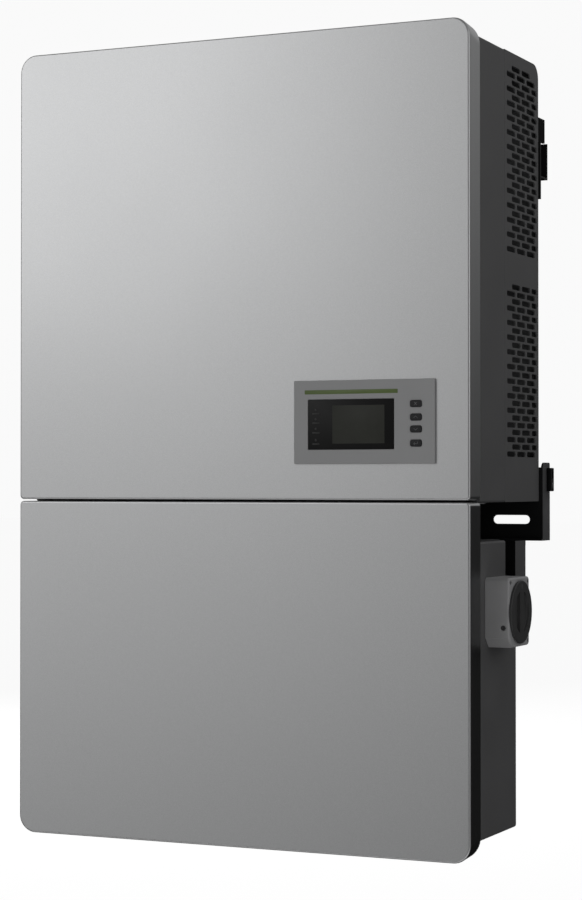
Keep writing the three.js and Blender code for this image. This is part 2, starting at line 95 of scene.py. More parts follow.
def box(name, x0, x1, y0, y1, z0, z1):
    return prism(name, "Z", [(x0, y0), (x1, y0), (x1, y1), (x0, y1)], z0, z1)


def rr(x0, x1, z0, z1, r, n=7):
    """Rounded rectangle as points; r is one radius or [low-low, high-low, high-high, low-high]."""
    rs = r if isinstance(r, (list, tuple)) else [r] * 4
    out = []
    cs = [(x0, z0, 1, 1, 180), (x1, z0, -1, 1, 270), (x1, z1, -1, -1, 0), (x0, z1, 1, -1, 90)]
    for (cx, cz, sx, sz, a0), rad in zip(cs, rs):
        rad = max(rad, 0.01)
        for i in range(n + 1):
            a = math.radians(a0 + 90 * i / n)
            out.append((cx + sx * rad + rad * math.cos(a), cz + sz * rad + rad * math.sin(a)))
    return out


def slab(name, axis, x0, x1, z0, z1, r, t0, t1, e, n=7, k=5, both=False, rear=None):
    """Rounded plate whose face at t0 has an edge rounding e; with both, the face at t1 too."""
    rs = r if isinstance(r, (list, tuple)) else [r] * 4
    s = 1 if t1 > t0 else -1
    rings = []

    def ring(inset, t):
        rings.append([pt(axis, a, b, t) for a, b in rr(x0 + inset, x1 - inset, z0 + inset, z1 - inset, [max(q - inset, 0.05) for q in rs], n)])
    for i in range(k + 1):
        a = math.radians(90 * i / k)
        ring(e * (1 - math.sin(a)), t0 + s * e * (1 - math.cos(a)))
    if both:
        for i in range(k, -1, -1):
            a = math.radians(90 * i / k)
            ring(e * (1 - math.sin(a)), t1 - s * e * (1 - math.cos(a)))
    else:
        if rear:
            rs = rear
        ring(0, t1)
    return loft(name, rings)


def circle(r, n, ca=0.0, cb=0.0, ph=0.0):
    return [(ca + r * math.cos(2 * math.pi * i / n + ph), cb + r * math.sin(2 * math.pi * i / n + ph)) for i in range(n)]


def turned(name, axis, ca, cb, prof, n=48):
    """Solid of revolution about an axis through (ca, cb): prof is a list of (radius, t)."""
    return loft(name, [[pt(axis, a, b, t) for a, b in circle(max(r, 0.01), n, ca, cb)] for r, t in prof])


def flat_mesh(o):
    dg = bpy.context.evaluated_depsgraph_get()
    me = bpy.data.meshes.new_from_object(o.evaluated_get(dg))
    o.modifiers.clear()
    old = o.data
    o.data = me
    bpy.data.meshes.remove(old)
    return o


def boolean(o, cutters, op="DIFFERENCE"):
    for c in cutters:
        m = o.modifiers.new("b", "BOOLEAN")
        m.operation, m.solver, m.object = op, "EXACT", c
        flat_mesh(o)
        bpy.data.objects.remove(c)
    return o


def join(name, objs):
    """One mesh from several closed ones."""
    bm = bmesh.new()
    for o in objs:
        bm.from_mesh(o.data)
    me = bpy.data.meshes.new(name)
    bm.to_mesh(me)
    bm.free()
    me.shade_smooth()
    for o in objs:
        bpy.data.objects.remove(o)
    o = bpy.data.objects.new(name, me)
    col.objects.link(o)
    return o


def soften(o, width=0.5, seg=2, angle=35, clean=True):
    """Rounds the sharp edges by a real bevel and evens the shading."""
    if clean:
        bm = bmesh.new()
        bm.from_mesh(o.data)
        bmesh.ops.remove_doubles(bm, verts=bm.verts, dist=2e-6)
        bmesh.ops.dissolve_limit(bm, angle_limit=math.radians(0.5), verts=bm.verts, edges=bm.edges)
        bm.to_mesh(o.data)
        bm.free()
    o.data.shade_smooth()
    m = o.modifiers.new("bevel", "BEVEL")
    m.width, m.segments, m.limit_method, m.angle_limit = width / 1000, seg, "ANGLE", math.radians(angle)
    m.use_clamp_overlap, m.miter_outer = True, "MITER_ARC"
    m.harden_normals = False
    w = o.modifiers.new("wn", "WEIGHTED_NORMAL")
    w.keep_sharp, w.weight = True, 60
    flat_mesh(o)
    return o


def copy_cad(node, width=0.5, seg=2, angle=35, name=None):
    """A piece with the CAD node's own shape, its edges rounded."""
    src = NODES[node]
    me = src.data.copy()
    me.materials.clear()
    o = bpy.data.objects.new(name or node + "_finish", me)
    col.objects.link(o)
    o.matrix_world = src.matrix_world.copy()
    bm = bmesh.new()
    bm.from_mesh(me)
    bm.transform(o.matrix_world)
    bmesh.ops.remove_doubles(bm, verts=bm.verts, dist=1e-5)
    bmesh.ops.recalc_face_normals(bm, faces=bm.faces)
    bm.to_mesh(me)
    bm.free()
    o.matrix_world = Matrix.Identity(4)
    for a in list(me.attributes):
        if a.name in ("custom_normal", "sharp_edge", "sharp_face"):
            me.attributes.remove(a)
    return soften(o, width, seg, angle)


def tube(name, pts, r, sides=10, closed=False, world=False):
    P = [p if world else V(*p) for p in pts]
    n = len(P)
    rings, up = [], None
    for i in range(n):
        a = P[(i - 1) % n] if (closed or i) else P[i]
        b = P[(i + 1) % n] if (closed or i < n - 1) else P[i]
        t = (b - a).normalized()
        if up is None:
            up = t.orthogonal().normalized()
        up = (up - t * up.dot(t)).normalized()
        side = t.cross(up)
        rings.append([P[i] + (up * math.cos(q) + side * math.sin(q)) * r / 1000 for q in [2 * math.pi * j / sides for j in range(sides)]])
    if closed:
        verts = [p for rg in rings for p in rg]
        faces = [(i * sides + j, i * sides + (j + 1) % sides, ((i + 1) % n) * sides + (j + 1) % sides, ((i + 1) % n) * sides + j) for i in range(n) for j in range(sides)]
        return make(name, verts, faces)
    return loft(name, rings)


def smooth_path(pts, n=10):
    """Catmull-Rom through the points."""
    out = []
    P = [Vector(p) for p in pts]
    P = [P[0] * 2 - P[1]] + P + [P[-1] * 2 - P[-2]]
    for i in range(1, len(P) - 2):
        for k in range(n):
            t = k / n
            a, b, c, d = P[i - 1], P[i], P[i + 1], P[i + 2]
            out.append(0.5 * ((2 * b) + (c - a) * t + (2 * a - 5 * b + 4 * c - d) * t * t + (3 * b - a - 3 * c + d) * t ** 3))
    out.append(P[-2])
    return [tuple(p) for p in out]


def screw(axis, ca, cb, t, s, r=4.0, h=2.4, drive="hex"):
    """A cap screw head with a recessed drive, standing on plane t and facing s along the axis."""
    n, c = 24, 0.5
    def circ(rad, z):
        return [pt(axis, a, b, t + s * z) for a, b in circle(rad, n, ca, cb)]
    def hexa(rad, z):
        out = []
        for i in range(n):
            q = 2 * math.pi * i / n
            k = math.cos(math.pi / 6) / math.cos((q % (math.pi / 3)) - math.pi / 6)
            out.append(pt(axis, ca + rad * k * math.cos(q), cb + rad * k * math.sin(q), t + s * z))
        return out
    return loft("s", [circ(r, 0), circ(r, h - c), circ(r - 0.2, h - 0.15), circ(r - c, h), hexa(r * 0.5, h), hexa(r * 0.5, h - 1.4)])


def hexhead(axis, ca, cb, t, s, af=13.0, h=5.5, washer=11.0, wt=1.6):
    n = 36
    def hexr(rad, z):
        out = []
        for i in range(n):
            q = 2 * math.pi * i / n
            k = math.cos(math.pi / 6) / math.cos((q % (math.pi / 3)) - math.pi / 6)
            out.append(pt(axis, ca + rad * k * math.cos(q), cb + rad * k * math.sin(q), t + s * z))
        return out
    def circ(rad, z):
        return [pt(axis, a, b, t + s * z) for a, b in circle(rad, n, ca, cb)]
    R = af / 2 / math.cos(math.pi / 6)
    return loft("s", [circ(washer, 0), circ(washer, wt - 0.2), circ(washer - 0.2, wt), hexr(R, wt), hexr(R, wt + h - 0.8), circ(af / 2 * 0.96, wt + h)])


# ------------------------------------------------------------------ materials
def material(name, base, rough, metal=0.0, var=0.06, vscale=40.0, bump=0.15, bscale=900.0, rvar=0.05, detail=3.0, coat=0.0, spec=0.5, dist=0.0003, fleck=None, stretch=None):
    m = bpy.data.materials.new(name)
    m.use_nodes = True
    nt = m.node_tree
    N, L = nt.nodes, nt.links
    b = N["Principled BSDF"]
    b.inputs["Metallic"].default_value = metal
    b.inputs["Specular IOR Level"].default_value = spec
    b.inputs["Coat Weight"].default_value = coat
    if coat:
        b.inputs["Coat Roughness"].default_value = 0.25
    tc = N.new("ShaderNodeTexCoord")
    vec = tc.outputs["Object"]
    if stretch:
        mp = N.new("ShaderNodeMapping")
        mp.inputs["Scale"].default_value = stretch
        L.new(vec, mp.inputs["Vector"])
        vec = mp.outputs["Vector"]
    n1 = N.new("ShaderNodeTexNoise")
    n1.inputs["Scale"].default_value = vscale
    n1.inputs["Detail"].default_value = detail
    L.new(vec, n1.inputs["Vector"])
    cr = N.new("ShaderNodeValToRGB")
    lo = [max(c * (1 - var), 0) for c in base[:3]] + [1]
    hi = [min(c * (1 + var), 1) for c in base[:3]] + [1]
    cr.color_ramp.elements[0].position, cr.color_ramp.elements[1].position = 0.3, 0.7
    cr.color_ramp.elements[0].color, cr.color_ramp.elements[1].color = lo, hi
    L.new(n1.outputs["Fac"], cr.inputs["Fac"])
    out = cr.outputs["Color"]
    if fleck:
        v = N.new("ShaderNodeTexVoronoi")
        v.inputs["Scale"].default_value = fleck[0]
        L.new(vec, v.inputs["Vector"])
        r2 = N.new("ShaderNodeValToRGB")
        r2.color_ramp.elements[0].position, r2.color_ramp.elements[1].position = 0.35, 0.75
        a = [c * (1 - fleck[1]) for c in base[:3]] + [1]
        z = [min(c * (1 + fleck[1]), 1) for c in base[:3]] + [1]
        r2.color_ramp.elements[0].color, r2.color_ramp.elements[1].color = a, z
        sp = N.new("ShaderNodeSeparateColor")
        L.new(v.outputs["Color"], sp.inputs["Color"])
        L.new(sp.outputs["Red"], r2.inputs["Fac"])
        mx = N.new("ShaderNodeMix")
        mx.data_type = "RGBA"
        mx.inputs["Factor"].default_value = 0.5
        L.new(out, mx.inputs["A"])
        L.new(r2.outputs["Color"], mx.inputs["B"])
        out = mx.outputs["Result"]
    L.new(out, b.inputs["Base Color"])
    n2 = N.new("ShaderNodeTexNoise")
    n2.inputs["Scale"].default_value = bscale
    n2.inputs["Detail"].default_value = 2.0
    L.new(vec, n2.inputs["Vector"])
    mr = N.new("ShaderNodeMapRange")
    mr.inputs["To Min"].default_value, mr.inputs["To Max"].default_value = max(rough - rvar, 0.02), min(rough + rvar, 1)
    L.new(n1.outputs["Fac"], mr.inputs["Value"])
    L.new(mr.outputs["Result"], b.inputs["Roughness"])
    if bump:
        bp = N.new("ShaderNodeBump")
        bp.inputs["Strength"].default_value = bump
        bp.inputs["Distance"].default_value = dist
        L.new(n2.outputs["Fac"], bp.inputs["Height"])
        L.new(bp.outputs["Normal"], b.inputs["Normal"])
    return m


M = {
    "cover": material("cover_paint", (0.62, 0.625, 0.63), 0.38, 1.0, var=0.012, vscale=6, bump=0.05, bscale=1600, rvar=0.02, fleck=(2600, 0.10), dist=0.0001),
    "box": material("box_paint", (0.112, 0.112, 0.114), 0.55, 0.0, var=0.05, vscale=14, bump=0.25, bscale=1500, rvar=0.06, dist=0.0002),
    "hook": material("hook_paint", (0.085, 0.085, 0.086), 0.6, 0.0, var=0.05, vscale=20, bump=0.2, bscale=1500),
    "bracket": material("bracket_paint", (0.004, 0.004, 0.0045), 0.5, 0.0, var=0.15, vscale=25, bump=0.25, bscale=1300),
    # painted shade: a darker copy of the cover paint, put on the lower cover's sides to stand for the shade there
    "cover_side_shade": material("cover_paint_painted_shade", (0.20, 0.202, 0.205), 0.38, 1.0, var=0.012, vscale=6, bump=0.05, bscale=1600, rvar=0.02, fleck=(2600, 0.10), dist=0.0001),
    # painted light: a lighter grey than the black bracket, put on the lower plate's side flanges to stand for the light
    # falling on them
    "flange": material("flange_worn_paint", (0.105, 0.105, 0.108), 0.4, 0.0, var=0.15, vscale=25, bump=0.25, bscale=1300),
    # near-black and dull: painted shade inside the wiring box's rear notches, and black on the marked faces of the rear
    # cover and hook plates
    "pocket": material("pocket_black", (0.0035, 0.0035, 0.0035), 0.85, 0.0, var=0.2, vscale=25, bump=0.3, bscale=1200, spec=0.15),
    "seal": material("zinc_plated_rail", (0.42, 0.42, 0.40), 0.35, 0.9, var=0.08, vscale=60, bump=0.1, bscale=1200),
    "panel": material("panel_plastic", (0.365, 0.367, 0.371), 0.55, 0.0, var=0.02, vscale=20, bump=0.10, bscale=2600, rvar=0.03),
    "window": material("window_plastic", (0.009, 0.009, 0.009), 0.30, 0.0, var=0.1, vscale=30, bump=0.01, bscale=300, rvar=0.03, spec=0.22),
    "lcd": material("lcd_film", (0.047, 0.0485, 0.042), 0.5, 0.0, var=0.06, vscale=60, bump=0.02, bscale=3500, rvar=0.03, spec=0.15),
    "stripe": material("green_ink", (0.125, 0.175, 0.058), 0.5, 0.0, var=0.05, vscale=40, bump=0.05, bscale=2500),
    "led": material("led_lens", (0.022, 0.022, 0.022), 0.4, 0.0, var=0.05, vscale=60, bump=0.02, bscale=1500),
    "key": material("key_rubber", (0.014, 0.0145, 0.016), 0.6, 0.0, var=0.08, vscale=120, bump=0.12, bscale=3000),
    "keymark": material("key_mark", (0.20, 0.20, 0.205), 0.5, 0.0, var=0.03, vscale=120, bump=0.05, bscale=3000),
    "rubber": material("gasket_rubber", (0.010, 0.010, 0.010), 0.8, 0.0, var=0.2, vscale=90, bump=0.35, bscale=1200),
    "alu": material("heat_sink_aluminium", (0.34, 0.345, 0.35), 0.38, 0.85, var=0.06, vscale=30, bump=0.12, bscale=500, stretch=(1, 1, 0.05)),
    "cast": material("inductor_aluminium", (0.30, 0.305, 0.31), 0.5, 0.8, var=0.08, vscale=35, bump=0.3, bscale=700),
    "fan": material("fan_plastic", (0.014, 0.014, 0.015), 0.45, 0.0, var=0.1, vscale=60, bump=0.12, bscale=1800),
    "wire_steel": material("guard_steel", (0.45, 0.45, 0.46), 0.3, 0.95, var=0.06, vscale=80, bump=0.08, bscale=1500),
    "pcb": material("circuit_board", (0.012, 0.085, 0.032), 0.4, 0.0, var=0.18, vscale=140, bump=0.2, bscale=700, coat=0.2),
    "can": material("capacitor_sleeve", (0.02, 0.02, 0.03), 0.35, 0.0, var=0.1, vscale=60, bump=0.05, bscale=1500),
    "module": material("module_black", (0.022, 0.022, 0.023), 0.5, 0.0, var=0.1, vscale=60, bump=0.2, bscale=1300),
    "ribbon": material("ribbon_plastic", (0.30, 0.31, 0.33), 0.5, 0.0, var=0.06, vscale=60, bump=0.5, bscale=260, stretch=(4, 0.05, 0.05)),
    "base": material("switch_base_plastic", (0.40, 0.40, 0.405), 0.5, 0.0, var=0.04, vscale=30, bump=0.16, bscale=1900, rvar=0.04),
    "knob": material("knob_plastic", (0.050, 0.050, 0.0505), 0.5, 0.0, var=0.06, vscale=45, bump=0.14, bscale=2000, rvar=0.04),
    "pointer": material("pointer_ink", (0.12, 0.12, 0.118), 0.5, 0.0, var=0.02, vscale=60, bump=0.03, bscale=2500),
    "steel": material("plated_steel", (0.50, 0.50, 0.49), 0.3, 0.95, var=0.06, vscale=70, bump=0.08, bscale=1400),
    "black_steel": material("black_steel", (0.016, 0.016, 0.017), 0.4, 0.5, var=0.12, vscale=70, bump=0.12, bscale=1400),
    "swbody": material("switch_body_plastic", (0.030, 0.030, 0.033), 0.48, 0.0, var=0.06, vscale=45, bump=0.14, bscale=1900),
    "fuse": material("fuse_body_plastic", (0.33, 0.335, 0.33), 0.5, 0.0, var=0.03, vscale=40, bump=0.12, bscale=2000),
    "lever": material("lever_plastic", (0.46, 0.45, 0.41), 0.48, 0.0, var=0.03, vscale=40, bump=0.12, bscale=2000),
    "red": material("cartridge_plastic", (0.36, 0.035, 0.025), 0.42, 0.0, var=0.05, vscale=40, bump=0.12, bscale=2000),
    "term": material("terminal_plastic", (0.045, 0.045, 0.047), 0.5, 0.0, var=0.06, vscale=40, bump=0.14, bscale=1900),
    "copper": material("ground_copper", (0.62, 0.30, 0.14), 0.3, 0.95, var=0.08, vscale=50, bump=0.08, bscale=900),
    "red_wire": material("wire_red", (0.42, 0.025, 0.02), 0.45, 0.0, var=0.05, vscale=40, bump=0.06, bscale=1500),
    "black_wire": material("wire_black", (0.012, 0.012, 0.012), 0.42, 0.0, var=0.1, vscale=40, bump=0.06, bscale=1500),
    "green_wire": material("wire_green", (0.03, 0.22, 0.05), 0.45, 0.0, var=0.06, vscale=40, bump=0.06, bscale=1500),
}


def put(o, mat, body="chassis", replaces=None):
    o.data.materials.clear()
    o.data.materials.append(M[mat])
    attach(o, body)
    if replaces:
        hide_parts(*([replaces] if isinstance(replaces, str) else replaces))
    return o


# ------------------------------------------------------------------ covers
HW, TOP, BOT = 304.0, 492.5, -492.5
SU, SL = -71.2, -73.5
D, SH, E = 35.0, 2.5, 2.6
OPEN = 288.0


def cover(name, z0, z1, radii, rear, oz0, oz1, hole=None):
    o = slab(name, "Y", -HW, HW, z0, z1, radii, 0, D, E, n=12, k=6, rear=rear)
    ri, rq = [max(r - SH, 1) for r in radii], [max(r - SH, 1) for r in rear]
    cuts = [slab("c", "Y", -HW + SH, HW - SH, z0 + SH, z1 - SH, ri, SH, D - SH, 2.0, n=12, k=3, rear=rq),
            prism("c", "Y", rr(-OPEN, OPEN, oz0, oz1, 4), D - 6, D + 4)]
    if hole:
        cuts.append(prism("c", "Y", rr(*hole, 3), -5, 6))
    boolean(o, cuts)
    return soften(o, 0.5, 2, 40)


put(cover("upper_cover_skin", SU, TOP, [5, 5, 22, 22], [5, 5, 28, 28], -60, 462, (94, 251, -19, 61)), "cover", "chassis", "upper_cover")
lc = put(cover("lower_cover_skin", BOT, SL, [22, 22, 5, 5], [27, 27, 5, 5], -457.4, -134), "cover", "wiring_cover", "lower_cover")
# painted shade: the lower cover's side faces and outer bottom corner faces take the darker copy of the cover paint
lc.data.materials.append(M["cover_side_shade"])
for f in lc.data.polygons:
    c = (f.center - O) * 1000
    nx = f.normal.x * (1 if c.x > 0 else -1)
    if abs(f.normal.y) < 0.35 and ((nx > 0.97 and abs(c.x) > HW - 0.6) or (nx > 0.15 and c.z < -458 and abs(c.x) > HW - 28)):
        f.material_index = 1
for g, b in (("upper_cover_gasket", "chassis"), ("lower_cover_gasket", "wiring_cover"), ("neck_gasket", "chassis")):
    put(copy_cad(g, 0.5), "rubber", b, g)

# ------------------------------------------------------------------ display
PX0, PX1, PZ0, PZ1 = 80.8, 261.3, -28.0, 71.5
WX0, WX1, WZ0, WZ1 = 99.0, 210.5, -11.3, 48.9
KX, KW, KH, KZ = 238.0, 14.6, 7.8, [42.2, 26.4, 12.4, -4.1]
pan = slab("display_bezel", "Y", PX0, PX1, PZ0, PZ1, 1.2, -3.3, -0.3, 0.5, n=5, k=4)
cuts = [prism("c", "Y", rr(WX0, WX1, WZ0, WZ1, 1.2), -6, -1.2), prism("c", "Y", rr(WX0 + 5, WX1 - 5, WZ0 + 5, WZ1 - 5, 1), -6, 3)]
cuts += [prism("c", "Y", rr(KX - KW / 2 - 0.3, KX + KW / 2 + 0.3, z - KH / 2 - 0.3, z + KH / 2 + 0.3, 2.6), -6, 3) for z in KZ]
boolean(pan, cuts)
put(soften(pan, 0.25, 2, 40), "panel", "chassis", "display_panel")
win = slab("display_glass", "Y", WX0 + 0.3, WX1 - 0.3, WZ0 + 0.3, WZ1 - 0.3, 1.0, -3.0, -1.4, 0.3, n=4, k=3)
put(win, "window", "chassis", "display_window")
put(slab("display_screen", "Y", 131, 198, -4.0, 41.5, 0.6, -3.12, -2.9, 0.05, n=3, k=1), "lcd", "chassis", None)
put(slab("display_stripe", "Y", 95.0, 215.0, 55.0, 60.0, 0.8, -3.42, -3.2, 0.05, n=3, k=1), "stripe", "chassis", None)
leds = []
for z in (31.6, 20.6, 9.0, -4.4):
    leds.append(slab("l", "Y", 104.8, 114.6, z - 0.9, z + 0.9, 0.85, -3.28, -2.9, 0.2, n=4, k=2))
    leds.append(turned("l", "Y", 109.5, z + 4.6, [(1.5, -2.9), (1.5, -3.12), (1.2, -3.26), (0.6, -3.32), (0.02, -3.33)], 20))
put(join("display_leds", leds), "led", "chassis", None)
put(copy_cad("lcd_module", 0.2), "pcb", "chassis", "lcd_module")
NAMES = ["key_esc", "key_up", "key_down", "key_enter"]


def stroke(pts, w, y0, y1):
    """A flat raised line mark through points in the XZ plane."""
    return [tube("m", [(a, (y0 + y1) / 2, b) for a, b in pts], w / 2, 8)]


for i, (z, nm) in enumerate(zip(KZ, NAMES)):
    r = 1.6 if i == 0 else 2.7
    cap = slab("cap", "Y", KX - KW / 2, KX + KW / 2, z - KH / 2, z + KH / 2, r, -4.7, 0.6, 1.1, n=5, k=5)
    fl = slab("fl", "Y", KX - KW / 2 - 1.6, KX + KW / 2 + 1.6, z - KH / 2 - 1.2, z + KH / 2 + 1.2, 2, 0.2, 1.8, 0.2, n=4, k=2)
    st = box("st", KX - 2, KX + 2, 1.5, 3.8, z - 2, z + 2)
    put(join(nm + "_cap", [cap, fl, st]), "key", nm, nm)
    c = z
    marks = {0: [[(KX - 1.6, c - 1.6), (KX + 1.6, c + 1.6)], [(KX - 1.6, c + 1.6), (KX + 1.6, c - 1.6)]],
             1: [[(KX - 2.4, c - 1), (KX, c + 1.3), (KX + 2.4, c - 1)]],
             2: [[(KX - 2.4, c + 1), (KX, c - 1.3), (KX + 2.4, c + 1)]],
             3: [[(KX + 2.4, c + 1.6), (KX + 2.4, c - 0.8), (KX - 2.4, c - 0.8)], [(KX - 1, c + 0.6), (KX - 2.4, c - 0.8), (KX - 1, c - 2.2)]]}[i]
    objs = [t for mk in marks for t in stroke(mk, 0.55, -4.75, -4.65)]
    put(join(nm + "_mark", objs), "keymark", nm, None)

# ------------------------------------------------------------------ enclosures
put(copy_cad("main_enclosure", 0.6, 3), "box", "chassis", "main_enclosure")
wb = put(copy_cad("wiring_box", 0.7, 3), "box", "chassis", "wiring_box")
# painted shade: the faces inside the rear top notch on each side are made near-black to stand for the shade in it
wb.data.materials.append(M["pocket"])
for f in wb.data.polygons:
    c = (f.center - O) * 1000
    if abs(c.x) > 279.5 and c.y > 126.5 and c.z > -166.5 and not (abs(c.x) > 301.5 or c.y > 165.6 or c.z > -120.4):
        f.material_index = 1
rc = put(copy_cad("duct_rear_cover", 0.7, 2), "box", "chassis", "duct_rear_cover")
rc.data.materials.append(M["pocket"])
for f in rc.data.polygons:
    c = (f.center - O) * 1000
    if c.y > 255.4 and (c.z > 340 or c.z < -20):
        f.material_index = 1
put(copy_cad("fan_tray", 0.3, 1), "box", "chassis", "fan_tray")
for n in ("hook_plate_left", "hook_plate_right"):
    hp = put(copy_cad(n, 0.6, 2), "hook", "chassis", n)
    hp.data.materials.append(M["pocket"])
    y0 = min(v.co.y for v in hp.data.vertices)
    for f in hp.data.polygons:
        if f.normal.y < -0.9 or abs((f.center - O).x) < 0.2975:
            f.material_index = 1

# duct sides: a steel sheet with two fields of staggered slots
MT, MB, YR, DR = 476.0, -74.0, 255.0, 18.0


def duct_side(name, sx, node):
    pts = [(127.6, MB), (YR, MB)] + [(YR - DR + DR * math.cos(a), MT - DR + DR * math.sin(a)) for a in [math.pi / 2 * k / 12 for k in range(13)]] + [(127.6, MT)]
    o = prism(name, "X", pts, sx * 299.5, sx * 302)
    slots = []
    pitch, L_, h = 8.9, 32.0, 6.4
    for z0, z1 in ((-20.5, 192.0), (230.0, 460.0)):
        rows = int((z1 - z0) / pitch)
        for r in range(rows + 1):
            z = z1 - 3 - r * pitch
            if z < z0:
                break
            off = 0 if r % 2 == 0 else 18.5
            for c in range(4):
                yc = 133.0 + off + c * 37.0
                a, b = yc - L_ / 2, yc + L_ / 2
                a, b = max(a, 133.5), min(b, 249.5)
                if z > 455 and b > 238:
                    b = 238
                if b - a < 18:
                    continue
                slots.append(prism("c", "X", rr(a, b, z - h / 2, z + h / 2, h / 2 - 0.05, 4), sx * 290, sx * 310))
    cutter = join("cut", slots)
    boolean(o, [cutter])
    soften(o, 0.35, 1, 50)
    return put(o, "box", "chassis", node)


duct_side("duct_side_right_sheet", 1, "duct_side_right")
duct_side("duct_side_left_sheet", -1, "duct_side_left")

# ------------------------------------------------------------------ bracket and bolts
for n in ("bracket_upper_rail", "bracket_lower_plate", "bracket_upright_left", "bracket_upright_right"):
    br = put(copy_cad(n, 0.5, 2), "bracket", "chassis", n)
    if n == "bracket_lower_plate":
        # painted light: the lower plate's outer side flange faces take the lighter grey that stands for the light on
        # them
        br.data.materials.append(M["flange"])
        for f in br.data.polygons:
            if abs(f.normal.x) > 0.9 and abs((f.center - O).x) > 0.306:
                f.material_index = 1
for s, n in ((1, "securing_bolt_right"), (-1, "securing_bolt_left")):
    y, z = 276.5, -46.5
    blk = slab("w", "X", y - 5, y + 5, z - 14.8, z + 14.8, 1.4, s * 313.4, s * 306.9, 0.9, n=5, k=4)
    hexc = loft("c", [[pt("X", a, b, s * t_) for a, b in circle(3.2, 6, y, z)] for t_ in (310.4, 316)])
    boolean(blk, [hexc, turned("c", "X", y, z, [(4.0, s * 312.8), (5.0, s * 315)], 32)])
    o = join(n + "_head", [
        blk,
        turned("t", "X", y, z, [(3.0, s * 287.0), (3.0, s * 307.2)], 28)])
    put(o, "black_steel", "chassis", n)

# ------------------------------------------------------------------ disconnects
SWY, SWZ = 91.5, -204.0


def switch(s, tag, body):
    hy, hz, x1 = 36.5, 41.3, 332.3
    # outline with a cut lower front corner, swept with a rounded outer edge
    def outline(inset):
        y0, y1, z0, z1 = SWY - hy + inset, SWY + hy - inset, SWZ - hz + inset, SWZ + hz - inset
        r, c = max(5 - inset, 0.5), 12 - 0.4 * inset
        pts = [(y0 + c, z0)]
        def arc(cy, cz, a0):
            return [(cy + r * math.cos(math.radians(a0 + 15 * k)), cz + r * math.sin(math.radians(a0 + 15 * k))) for k in range(7)]
        pts += arc(y1 - r, z0 + r, -90) + arc(y1 - r, z1 - r, 0) + arc(y0 + r, z1 - r, 90)
        pts.append((y0, z0 + c))
        return pts
    e = 2.6
    rings = [[pt("X", a, b, s * 302.3) for a, b in outline(0)], [pt("X", a, b, s * (x1 - e)) for a, b in outline(0)]]
    for k in range(1, 6):
        q = math.radians(90 * k / 5)
        rings.append([pt("X", a, b, s * (x1 - e + e * math.sin(q))) for a, b in outline(e * (1 - math.cos(q)))])
    o = loft(tag + "_switch_housing", rings)
    cuts = [turned("c", "X", SWY, SWZ, [(30, s * (x1 - 6)), (30, s * (x1 + 8))], 64),
            turned("c", "X", SWY, SWZ, [(7, s * 300), (7, s * (x1 + 8))], 24),
            turned("c", "Y", s * 324.5, SWZ - 17.5, [(3.0, 50), (3.0, 56.2)], 24),
            turned("c", "Y", s * 324.5, SWZ - 17.5, [(4.2, 50), (4.2, 55.0), (3.0, 55.9)], 24)]
    cuts += [turned("c", "X", SWY + a, SWZ + b, [(2.9, s * (x1 - 3)), (2.9, s * (x1 + 4))], 20) for a, b in ((31.2, 35.6), (31.2, -35.6), (-31.2, 35.6))]
    boolean(o, cuts)
    put(soften(o, 0.4, 2, 40), "base", "chassis", tag + "_switch_base")
    k0, k1 = x1 - 5.6, x1 + 3.4
    kn = turned("k", "X", SWY, SWZ, [(28.6, s * k0), (28.6, s * (x1 + 0.6)), (36.6, s * (x1 + 0.6)), (37.2, s * (x1 + 0.8)), (37.5, s * (x1 + 1.3)), (37.5, s * (k1 - 0.9)), (37.2, s * (k1 - 0.35)), (36.6, s * (k1 - 0.08)), (35.9, s * k1)], 96)
    sc = []
    for g in (1, -1):
        c = turned("c", "X", SWY, SWZ, [(22.6, s * (k1 - 3.6)), (25.0, s * (k1 - 2.2)), (26.0, s * (k1 + 4))], 64)
        blk = box("c", min(s * (k1 - 9), s * (k1 + 9)), max(s * (k1 - 9), s * (k1 + 9)), *((SWY + 7, SWY + 60) if g > 0 else (SWY - 60, SWY - 7)), SWZ - 60, SWZ + 60)
        boolean(c, [blk], "INTERSECT")
        sc.append(c)
    sc.append(turned("c", "X", SWY, SWZ, [(4.4, s * (k0 - 5)), (4.4, s * (k0 + 5.3))], 24))
    # shallow grip notches round the rim
    for i in range(48):
        q = 2 * math.pi * (i + 0.5) / 48
        sc.append(turned("c", "X", SWY + 38.2 * math.cos(q), SWZ + 38.2 * math.sin(q), [(1.2, s * (x1 + 0.2)), (1.2, s * (k1 - 0.9)), (0.5, s * (k1 - 0.5))], 8))
    notch = join("n", sc[3:])
    boolean(kn, sc[:3] + [notch])
    kn.name = tag + "_switch_knob_cap"
    put(soften(kn, 0.5, 2, 38), "knob", body, tag + "_switch_knob")
    put(slab(tag + "_switch_pointer", "X", SWY - 1.0, SWY + 1.0, SWZ + 27.5, SWZ + 33.5, 0.9, s * (k1 + 0.1), s * (k1 - 0.6), 0.08, n=4, k=2), "pointer", body, None)
    put(copy_cad(tag + "_switch_shaft", 0.3), "steel", body, tag + "_switch_shaft")
    put(copy_cad(tag + "_switch_body", 0.8, 2), "swbody", "chassis", tag + "_switch_body")
    put(turned(tag + "_switch_plug", "Y", s * 324.5, SWZ - 17.5, [(2.9, 56.1), (2.9, 55.6), (2.5, 55.35), (0.9, 55.3), (0.8, 55.7), (0.02, 55.7)], 24), "knob", "chassis", None)
    heads = [screw("X", SWY + a, SWZ + b, s * (x1 - 3), s, 2.5, 2.0) for a, b in ((31.2, 35.6), (31.2, -35.6), (-31.2, 35.6))]
    put(join(tag + "_switch_screws", heads), "black_steel", "chassis", None)


switch(1, "ac", "ac_switch")
switch(-1, "dc", "dc_switch")

# ------------------------------------------------------------------ fans
FY = 188.8
FX = [-185, 0, 185]


